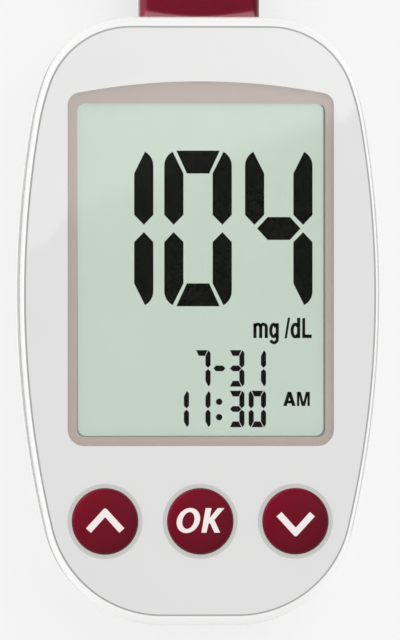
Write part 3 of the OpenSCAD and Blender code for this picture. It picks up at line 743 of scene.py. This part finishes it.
def digit(value, right, y_mid, half_w, half_h, stroke, bar, long, nib):
    """The lit segments of one digit whose right-hand uprights end at right."""
    x_mid = right - half_w
    shapes = {"a": end_bar(x_mid, y_mid, half_h, long, stroke, bar, 1),
              "d": end_bar(x_mid, y_mid, half_h, long, stroke, bar, -1),
              "g": middle_bar(x_mid, y_mid, long, stroke, bar)}
    for name, side, up in (("b", 1, 1), ("c", 1, -1), ("f", -1, 1), ("e", -1, -1)):
        shapes[name] = upright_segment(x_mid + side * half_w, y_mid, half_h, stroke, bar, nib, side, up)
    return [ink(shapes[name]) for name in LIT[value]]


# Sizes of the digits, and where each digit's right side stands
RESULT_SIZE = dict(y_mid=13.44 * MM, half_w=4.9 * MM, half_h=11.29 * MM, stroke=2.78 * MM, bar=3.32 * MM,
                   long=3.15 * MM, nib=0.53 * MM)
result = []
for value, right in (("1", -6.73), ("0", 4.66), ("4", 16.39)):
    result += digit(value, right * MM, **RESULT_SIZE)
SMALL_SIZE = dict(half_w=1.265 * MM, half_h=2.645 * MM, stroke=0.74 * MM, bar=0.83 * MM,
                  long=0.84 * MM, nib=0.08 * MM)
DATE_Y, CLOCK_Y = -6.86 * MM, -12.75 * MM
DASH = dict(x_mid=2.87 * MM, y_mid=DATE_Y, long=0.87 * MM, stroke=0.688 * MM, bar=0.83 * MM)
COLON_R, COLON_X, COLON_Y = 0.465 * MM, 2.82 * MM, (-11.7 * MM, -13.94 * MM)
date, clock = [], []
for value, right in (("7", 1.58), ("3", 6.5), ("1", 9.64)):
    date += digit(value, right * MM, DATE_Y, **SMALL_SIZE)
date.append(ink(middle_bar(**DASH)))
for value, right in (("1", -1.55), ("1", 1.58), ("3", 6.5), ("0", 9.64)):
    clock += digit(value, right * MM, CLOCK_Y, **SMALL_SIZE)
clock += [ink(circle(COLON_R, 24, (COLON_X, y))) for y in COLON_Y]


def stroke(path, width):
    """The outline of a pen stroke of even width along a path."""
    left, right = [], []
    for number, (x, y) in enumerate(path):
        before, after = path[max(number - 1, 0)], path[min(number + 1, len(path) - 1)]
        along = Vector((after[0] - before[0], after[1] - before[1])).normalized() * width / 2
        left.append((x - along.y, y + along.x))
        right.append((x + along.y, y - along.x))
    return left + right[::-1]


def bow(cx, cy, rx, ry, first, last, steps=16):
    """Points along an upright oval, from one angle to another."""
    turns = [math.radians(first + (last - first) * k / steps) for k in range(steps + 1)]
    return [(cx + rx * math.cos(a), cy + ry * math.sin(a)) for a in turns]


def lettering(name, shapes, left, base):
    """Letter shapes in millimetres, set as ink from a left edge and a base line."""
    return join(name, [ink([(left + x * MM, base + y * MM) for x, y in shape]) for shape in shapes])


# Letter shapes in millimetres from the left end of their base line
UNIT = [[(0, 0), (0.47, 0), (0.47, 2.14), (0, 2.14)],
        stroke([(0.3, 1.62)] + bow(0.65, 1.54, 0.42, 0.46, 160, 0) + [(1.07, 0)], 0.47),
        stroke([(1.12, 1.62)] + bow(1.46, 1.54, 0.42, 0.46, 160, 0) + [(1.88, 0)], 0.47),
        stroke(bow(2.94, 1.1, 0.41, 0.9, 30, 330), 0.46), [(3.24, 2.16), (3.24, 0), (3.71, 0), (3.71, 2.16)],
        stroke([(3.47, 0.1)] + bow(3, -0.17, 0.47, 0.5, 0, -165), 0.46),
        [(4.54, -0.04), (4.88, -0.04), (5.35, 2.97), (5.01, 2.97)],
        stroke(bow(6.1, 1.09, 0.47, 0.92, 40, 320), 0.47), [(6.35, 0), (6.82, 0), (6.82, 2.94), (6.35, 2.94)],
        [(7.11, 0), (8.48, 0), (8.48, 0.51), (7.54, 0.51), (7.54, 2.9), (7.11, 2.9)]]
DAY_HALF = [[(0, 0), (0.51, 0), (1.16, 2.06), (0.65, 2.06)],
            [(1.3, 0), (1.81, 0), (1.16, 2.06), (0.65, 2.06)],
            [(0.5, 0.38), (1.29, 0.38), (1.2, 0.79), (0.6, 0.79)],
            [(2, 0), (2.35, 0), (2.35, 2.06), (2, 2.06)], [(3.52, 0), (3.87, 0), (3.87, 2.06), (3.52, 2.06)],
            [(2.2, 2.06), (2.68, 0), (3.19, 0), (3.67, 2.06), (3.31, 2.06), (2.935, 0.58), (2.56, 2.06)]]
unit_ink = lettering("unit_ink", UNIT, 7.79 * MM, -2.46 * MM)
day_half_ink = lettering("day_half_ink", DAY_HALF, 12.13 * MM, -12.32 * MM)
for piece in (join("result_ink", result), join("date_ink", date), join("clock_ink", clock),
              unit_ink, day_half_ink):
    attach(piece, "meter")
    dress(piece, segment_black)

# The grey line is painted shade, standing for the shadow of the film's edge on the display. Its
# inner edge is drawn in from the window's at the right and the bottom, and leans in at the left
# towards the bottom.
SHADOW_LINE_RIGHT, SHADOW_LINE_LEAN, SHADOW_LINE_LEAN_TOP = 0.24 * MM, 0.0035, 31.5 * MM
SHADOW_LINE_LOW, SHADOW_LINE_HIGH, SHADOW_LINE_UNDER = 0.17 * MM, 0.1 * MM, 0.6 * MM
shadow_line_in = [(x - SHADOW_LINE_RIGHT if x > 0 else x + SHADOW_LINE_LEAN * (SHADOW_LINE_LEAN_TOP - y),
              y + (SHADOW_LINE_LOW if y < 0 else SHADOW_LINE_HIGH)) for x, y in clear_window(0)]
shadow_line_ink = prism("shadow_line_ink", clear_window(SHADOW_LINE_UNDER), LCD_TOP - INK_T / 2, LCD_TOP + INK_T)
combine(shadow_line_ink, [prism("inside", shadow_line_in, LCD_TOP - MM, LCD_TOP + MM)])
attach(shadow_line_ink, "meter")
dress(shadow_line_ink, plastic("shadow_line_grey_paint", (0.37, 0.375, 0.34), mottle=0.03, gloss=(0.4, 0.5),
                          grain=0.2, relief=1e-6))

# Key rings -------------------------------
# Three flat rings moulded in satin grey plastic, pressed into the panel's pockets, each the guide
# of one key.
KEY_R = 4.79 * MM
KEY_GAP = 0.02 * MM


def turned(name, profile, centre, steps=96):
    """A closed profile turned about an upright axis."""
    deselect_all()
    bpy.ops.mesh.primitive_circle_add(vertices=len(profile), radius=MM)
    piece = bpy.context.object
    piece.name = piece.data.name = name
    for vert, (radius, z) in zip(piece.data.vertices, profile):
        vert.co = (centre[0] + radius, centre[1], z)
    bpy.ops.object.mode_set(mode="EDIT")
    bpy.ops.mesh.select_all(action="SELECT")
    bpy.ops.mesh.spin(steps=steps, angle=math.tau, center=(*centre, 0), axis=(0, 0, 1))
    bpy.ops.mesh.select_all(action="SELECT")
    bpy.ops.mesh.remove_doubles(threshold=0.001 * MM)
    bpy.ops.mesh.normals_make_consistent(inside=False)
    bpy.ops.object.mode_set(mode="OBJECT")
    return piece


RING_TOP = FACE_Z + 0.03 * MM
RING_IN, RING_OUT = KEY_R + KEY_GAP, RING_R - 0.003 * MM
ring_profile = [(RING_IN, DECK_TOP), (RING_OUT, DECK_TOP), (RING_OUT, FACE_Z - 0.01 * MM),
                (RING_R - 0.06 * MM, RING_TOP), (RING_IN + 0.02 * MM, RING_TOP),
                (RING_IN, RING_TOP - 0.02 * MM)]
key_rings = join("key_rings_set",
                 [turned("key_ring", ring_profile, (x * KEY_PITCH, KEY_Y)) for x in (-1, 0, 1)])
smooth(key_rings)
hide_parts("key_rings")
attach(key_rings, "meter")
dress(key_rings, plastic("ring_satin_grey", (0.615, 0.61, 0.585), mottle=0.012, gloss=(0.3, 0.4),
                         grain=0.6))

# Keys ------------------------------------
# Wine-red caps, moulded and polished, flat in the middle and falling away to a round edge. Each is
# held under the deck by its flange and stands on its switch's plunger. Their marks are pale ink
# printed on the dome.
KEY_EDGE_Z = FACE_Z + 0.4 * MM
KEY_EDGE = 0.55 * MM
KEY_DOME = 0.35 * MM
FLANGE_Z = DECK_BOTTOM - 0.9 * MM
PLUNGER_TOP, PLUNGER_R, SOCKET_TOP = 11.35 * MM, 1.3 * MM, 14.6 * MM
STEM_R, FLANGE_R, FLANGE_T = 3.6 * MM, 5.6 * MM, 0.8 * MM
EDGE_TURN = math.radians(71.5)
DOME_POWER = 4
MARK_T = 0.015 * MM


def key_profile(raise_by=0.0):
    """Half of a key's section, from the foot of its stem up to the crown."""
    profile = [(0, PLUNGER_TOP), (PLUNGER_R, PLUNGER_TOP), (PLUNGER_R, SOCKET_TOP), (STEM_R, SOCKET_TOP),
               (STEM_R, FLANGE_Z), (FLANGE_R, FLANGE_Z), (FLANGE_R, FLANGE_Z + FLANGE_T),
               (KEY_R, FLANGE_Z + FLANGE_T)]
    for turn in (EDGE_TURN * step / 10 for step in range(11)):
        profile.append((KEY_R - KEY_EDGE * (1 - math.cos(turn)),
                        KEY_EDGE_Z - KEY_EDGE * (1 - math.sin(turn)) + raise_by))
    dome_r, dome_z = profile[-1]
    crown = KEY_EDGE_Z + KEY_DOME + raise_by
    for share in (step / 15 for step in range(14, -1, -1)):
        profile.append((dome_r * share, crown - (crown - dome_z) * share ** DOME_POWER))
    return profile


def turned_solid(name, profile, centre, steps=96):
    """A solid of revolution from half of its section, whose first and last points are on the axis."""
    rings = [circle(max(radius, 0.02 * MM), steps, centre) for radius, z in profile]
    return stacked(name, [[(*place, z) for place in ring] for ring, (radius, z) in zip(rings, profile)])


# The marks' outlines in millimetres from the middle of their key
UP_MARK = [(-2.78, -0.98), (-0.24, 1.8), (-0.13, 1.88), (0, 1.91), (0.13, 1.88), (0.24, 1.8), (2.78, -0.98),
           (2.05, -1.62), (0.09, 0.56), (0, 0.6), (-0.09, 0.56), (-2.05, -1.62)]
DOWN_MARK = [(x, -y - 0.26) for x, y in reversed(UP_MARK)]
K_MARK = [(0.744, 1.933), (1.6, 1.933), (1.309, 0.496), (2.507, 1.933), (3.482, 1.933), (1.993, 0.222),
          (2.849, -1.62), (2.02, -1.62), (1.36, -0.188), (1.138, -0.411), (0.881, -1.62), (0.13, -1.62)]
O_X, O_Y, O_SLANT = -1.754, 0.145, 0.17


def slanted_oval(half_w, half_h):
    return [(O_X + x * half_w + O_SLANT * y * half_h, O_Y + y * half_h) for x, y in circle(1, 40)]


def mark_prism(points, centre):
    places = [(centre[0] + x * MM, centre[1] + y * MM) for x, y in points]
    return prism("mark", places, KEY_EDGE_Z, FACE_Z + MM)


key_red = plastic("key_wine_red", (0.107, 0.001, 0.0088), mottle=0.03, gloss=(0.2, 0.27), grain=0.4,
                  relief=2e-6)
mark_ink = plastic("mark_pale_ink", (0.94, 0.85, 0.83), mottle=0.01, gloss=(0.4, 0.5), grain=0.5,
                   relief=2e-6)
OK_MARK, O_HOLE = [slanted_oval(1.68, 1.82), K_MARK], slanted_oval(0.86, 1.22)
for name, place, shapes in (("up", -1, [UP_MARK]), ("ok", 0, OK_MARK), ("down", 1, [DOWN_MARK])):
    centre = (place * KEY_PITCH, KEY_Y)
    key = turned_solid(name + "_key_cap", key_profile(), centre)
    smooth(key, 40)
    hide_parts(name + "_key")
    mark = join(name + "_mark", [mark_prism(points, centre) for points in shapes])
    if name == "ok":
        combine(mark, [mark_prism(O_HOLE, centre)])
    combine(mark, [turned_solid("cap_above", key_profile(MARK_T), centre)], "INTERSECT")
    smooth(mark, 40)
    for piece, material, slot in ((key, key_red, "key_red"), (mark, mark_ink, "housing_white")):
        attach(piece, "key_" + name)
        dress(piece, material)
    side_lit.objects.link(key)
    key_pieces.objects.link(key)

# Ejector head ----------------------------
# The wine-red head on the meter's top end, a polished moulding pressed on the carriage's neck. Its
# top runs up to the housing in a hollow fillet that grows towards both corners. The test strip goes
# in through the slot in its end, and pulling the head pushes the used strip out.
HEAD_W, HEAD_H, HEAD_REACH = 17.5 * MM, 6.8 * MM, 5.5 * MM
HEAD_X = 0.15 * MM
HEAD_Y = FACE_HALF_H + END_BULGE + 0.08 * MM
HEAD_CORNER_R, HEAD_END_R = 1.4 * MM, 0.9 * MM
FILLET_MID, FILLET_CORNER = 0.5 * MM, 1.7 * MM
FILLET_RISE_MID, FILLET_RISE_CORNER = 0.07 * MM, 0.5 * MM
# Where the fillet's sections stand, in millimetres out from the housing
FILLET_STEPS = (0, 0.1, 0.2, 0.3, 0.4, 0.5, 0.6, 0.75, 0.9, 1.05, 1.2, 1.4, 1.7, 2.4)
SLOT_HALF_W, SLOT_HALF_H, SLOT_R = 4.1 * MM, 0.65 * MM, 0.15 * MM
FUNNEL_HALF_W, FUNNEL_HALF_H, FUNNEL_R, FUNNEL_DEEP = 4.8 * MM, 1.6 * MM, 0.6 * MM, 1.5 * MM
NECK_HALF_W, NECK_HALF_H, NECK_DEEP = 7.25 * MM, 1.7 * MM, 2.4 * MM


def rounded_section(half_w, half_h, radius, steps=8, across=24):
    """A rectangle with round corners and points along its top and bottom."""
    corners = rounded_corners((-half_w, -half_h), (half_w, half_h), radius, steps)
    half = half_w - radius
    top = [(half * (1 - 2 * k / across), half_h) for k in range(1, across)]
    low = [(half * (2 * k / across - 1), -half_h) for k in range(1, across)]
    return corners[:steps + 1] + top + corners[steps + 1:3 * steps + 3] + low + corners[3 * steps + 3:]


def head_section(out, inset):
    """The head's section at a distance out from the housing, drawn in all round by inset."""
    ring = []
    for x, z in rounded_section(HEAD_W / 2 - inset, HEAD_H / 2 - inset, HEAD_CORNER_R - inset):
        share = (2 * x / HEAD_W) ** 2
        reach = FILLET_MID + (FILLET_CORNER - FILLET_MID) * share
        rise = FILLET_RISE_MID + (FILLET_RISE_CORNER - FILLET_RISE_MID) * share
        lift = rise * (1 - out / reach) ** 2 if z > 0 and out < reach else 0
        ring.append((HEAD_X + x, HEAD_Y + out, STRIP_Z + z + lift * min(1, 2 * z / HEAD_H)))
    return ring


head_rings = [head_section(out * MM, 0) for out in FILLET_STEPS]
for turn in (math.radians(90) * step / 8 for step in range(9)):
    head_rings.append(head_section(HEAD_REACH - HEAD_END_R * (1 - math.sin(turn)),
                                   HEAD_END_R * (1 - math.cos(turn))))
head = stacked("ejector_head_moulding", head_rings)
funnel_rings = []
for y, half_w, half_h, radius in ((HEAD_REACH + 0.1 * MM, FUNNEL_HALF_W, FUNNEL_HALF_H, FUNNEL_R),
                                  (HEAD_REACH - FUNNEL_DEEP, SLOT_HALF_W, SLOT_HALF_H, SLOT_R)):
    corners = rounded_corners((-half_w, -half_h), (half_w, half_h), radius)
    funnel_rings.append([(x, HEAD_Y + y, STRIP_Z + z) for x, z in corners])
funnel = stacked("funnel", funnel_rings)
slot_way = block("slot_way", (-SLOT_HALF_W, HEAD_Y - MM, STRIP_Z - SLOT_HALF_H),
                 (SLOT_HALF_W, HEAD_Y + HEAD_REACH, STRIP_Z + SLOT_HALF_H))
neck_way = block("neck_way", (-NECK_HALF_W, HEAD_Y - MM, STRIP_Z - NECK_HALF_H),
                 (NECK_HALF_W, HEAD_Y + NECK_DEEP, STRIP_Z + NECK_HALF_H))
combine(head, [funnel, slot_way, neck_way])
smooth(head, 35)
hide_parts("ejector_head")
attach(head, "ejector")
side_lit.objects.link(head)
head_pieces.objects.link(head)
dress(head, plastic("head_wine_red", (0.114, 0.0012, 0.009), mottle=0.03, gloss=(0.2, 0.27), grain=0.4,
                    relief=2e-6))

# Battery door ----------------------------
# A plate moulded in the housings' white ABS, which carries on their rounded underside. Six thumb
# grooves help to slide it off, and four hooks hold it under ledges in the housing.
DOOR_LOW, DOOR_TOP = 0.06 * MM, 1.26 * MM
NOSE_LOW, NOSE_TOP = 2.08 * MM, 2.95 * MM
GROOVES, GROOVE_PITCH, GROOVE_R = 6, 1.3 * MM, 0.45 * MM
battery_door = stacked("battery_door_plate", base_levels())
combine(battery_door, [prism("door_reach", door_outline(0), DOOR_LOW, DOOR_TOP)], "INTERSECT")
hooks = []
for side in (-1, 1):
    for y in HOOK_PLACES:
        near, far = sorted((side * HOOK_X[0], side * HOOK_X[1]))
        hooks.append(block("hook_stem", (near, y, DOOR_TOP - 0.3 * MM), (far, y + HOOK_STEM, NOSE_TOP)))
        hooks.append(block("hook_nose", (near, y + HOOK_STEM - 0.01 * MM, NOSE_LOW),
                           (far, y + HOOK_LONG, NOSE_TOP)))
combine(battery_door, hooks, "UNION")
grooves = []
for number in range(GROOVES):
    half = (12 - number) / 2 * MM
    y = DOOR_TOP_Y - 4 * MM - GROOVE_PITCH * number
    section = [(y + u, DOOR_LOW - GROOVE_R / 3 + v) for u, v in circle(GROOVE_R, 24)]
    grooves.append(stacked("thumb_groove", [[(x, *place) for place in section] for x in (-half, half)]))
combine(battery_door, grooves)
smooth(battery_door)
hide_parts("battery_door")
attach(battery_door, "door")
dress(battery_door, satin_white)

# Screws ----------------------------------
# Four zinc-plated cross-head screws that draw the two housings together. The two by the bottom end
# hide under the battery door.
SCREW_FACE, SCREW_TIP, PAN_R, SHANK_R = 2 * MM, 12 * MM, 1.8 * MM, 0.95 * MM
ARM_HALF, ARM_HALF_T = 1.1 * MM, 0.25 * MM
# Plated metal: brushed streaks in its gloss, and a faint unevenness in its tone
STREAK_SCALE, STREAK_STRETCH, TONE_SCALE = 500, 12, 300
steel, steel_in, steel_out = node_group("plated_metal", [
    ("Colour", "NodeSocketColor", (0.6, 0.6, 0.62, 1)), ("Gloss low", "NodeSocketFloat", 0.2),
    ("Gloss high", "NodeSocketFloat", 0.4)],
    [("Colour", "NodeSocketColor"), ("Roughness", "NodeSocketFloat"), ("Height", "NodeSocketFloat")])
coordinates = steel.nodes.new("ShaderNodeTexCoord").outputs["Object"]
stretch = steel.nodes.new("ShaderNodeMapping")
stretch.inputs["Scale"].default_value = (1, STREAK_STRETCH, STREAK_STRETCH)
steel.links.new(coordinates, stretch.inputs["Vector"])
streaks = noise(steel, stretch.outputs[0], STREAK_SCALE, detail=3)
steel.links.new(spread(steel, streaks, steel_in.outputs["Gloss low"], steel_in.outputs["Gloss high"]),
                steel_out.inputs["Roughness"])
toned = steel.nodes.new("ShaderNodeVectorMath")
toned.operation = "SCALE"
steel.links.new(steel_in.outputs["Colour"], toned.inputs[0])
steel.links.new(spread(steel, noise(steel, coordinates, TONE_SCALE), 0.93, 1.03), toned.inputs["Scale"])
steel.links.new(toned.outputs[0], steel_out.inputs["Colour"])
steel.links.new(streaks, steel_out.inputs["Height"])


def screw(place):
    """A pan-head screw pointing up, with a tapered cross recess."""
    profile = [(0, SCREW_FACE), (0.9 * MM, SCREW_FACE + 0.02 * MM), (1.5 * MM, SCREW_FACE + 0.15 * MM),
               (1.75 * MM, SCREW_FACE + 0.4 * MM), (PAN_R, SCREW_FACE + 0.75 * MM), (PAN_R, SCREW_SEAT),
               (SHANK_R, SCREW_SEAT), (SHANK_R, SCREW_TIP - 0.6 * MM), (0.5 * MM, SCREW_TIP)]
    made = turned_solid("screw", profile, place, 48)
    x, y = place
    for w, h in ((ARM_HALF, ARM_HALF_T), (ARM_HALF_T, ARM_HALF)):
        arm = stacked("cross", [[(x + u * w * share, y + v * h * share, SCREW_FACE + deep * MM)
                                 for u, v in ((1, 1), (-1, 1), (-1, -1), (1, -1))]
                                for share, deep in ((1.1, -0.1), (0.45, 0.8))])
        combine(made, [arm])
    return made


screws = join("screws_set", [screw(place) for place in SCREW_PLACES])
smooth(screws)
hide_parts("screws")
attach(screws, "meter")
dress(screws, grouped_material("zinc_plate", steel, {"Colour": (0.6, 0.61, 0.63, 1)}, relief=2e-6,
                               Metallic=1.0))

# Inside ----------------------------------
# What the housings close in stays as the frame has it, and takes its finish here: board, chips,
# connector, contacts, cell, display frame, switches, carriage and spring. Each finish has its
# surface group, colour, lowest and highest roughness, and the nodes that take it.
INSIDE = {
    "board_solder_resist": (moulded, (0.02, 0.12, 0.05, 1), 0.25, 0.4, ["main_board"]),
    "chip_epoxy": (moulded, (0.018, 0.018, 0.02, 1), 0.5, 0.65,
                   ["processor_chip", "memory_chip", "chip_resistors", "buzzer", "strip_connector",
                    "up_plunger", "ok_plunger", "down_plunger"]),
    "frame_white": (moulded, (0.78, 0.78, 0.76, 1), 0.45, 0.6, ["lcd_holder"]),
    "contact_rubber": (moulded, (0.04, 0.04, 0.045, 1), 0.7, 0.85, ["zebra_strip"]),
    "display_glass": (moulded, (0.5, 0.58, 0.52, 1), 0.1, 0.16, ["lcd_front_glass", "lcd_rear_glass"]),
    "carriage_acetal": (moulded, (0.1, 0.1, 0.105, 1), 0.4, 0.5, ["ejector_carriage"]),
    "nickel_plate": (steel, (0.62, 0.61, 0.59, 1), 0.2, 0.35,
                     ["crystal_can", "switch_bases", "coin_cell", "cell_positive_contact",
                      "cell_negative_contact", "ejector_spring"]),
    "gold_plate": (steel, (0.8, 0.55, 0.2, 1), 0.2, 0.3, ["strip_contacts"])}
for name, (group, colour, low, high, nodes) in INSIDE.items():
    metal = 1.0 if group is steel else 0.0
    values = {"Colour": colour, "Gloss low": low, "Gloss high": high}
    finish = grouped_material(name, group, values, Metallic=metal)
    for node in nodes:
        dress(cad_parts[node], finish)
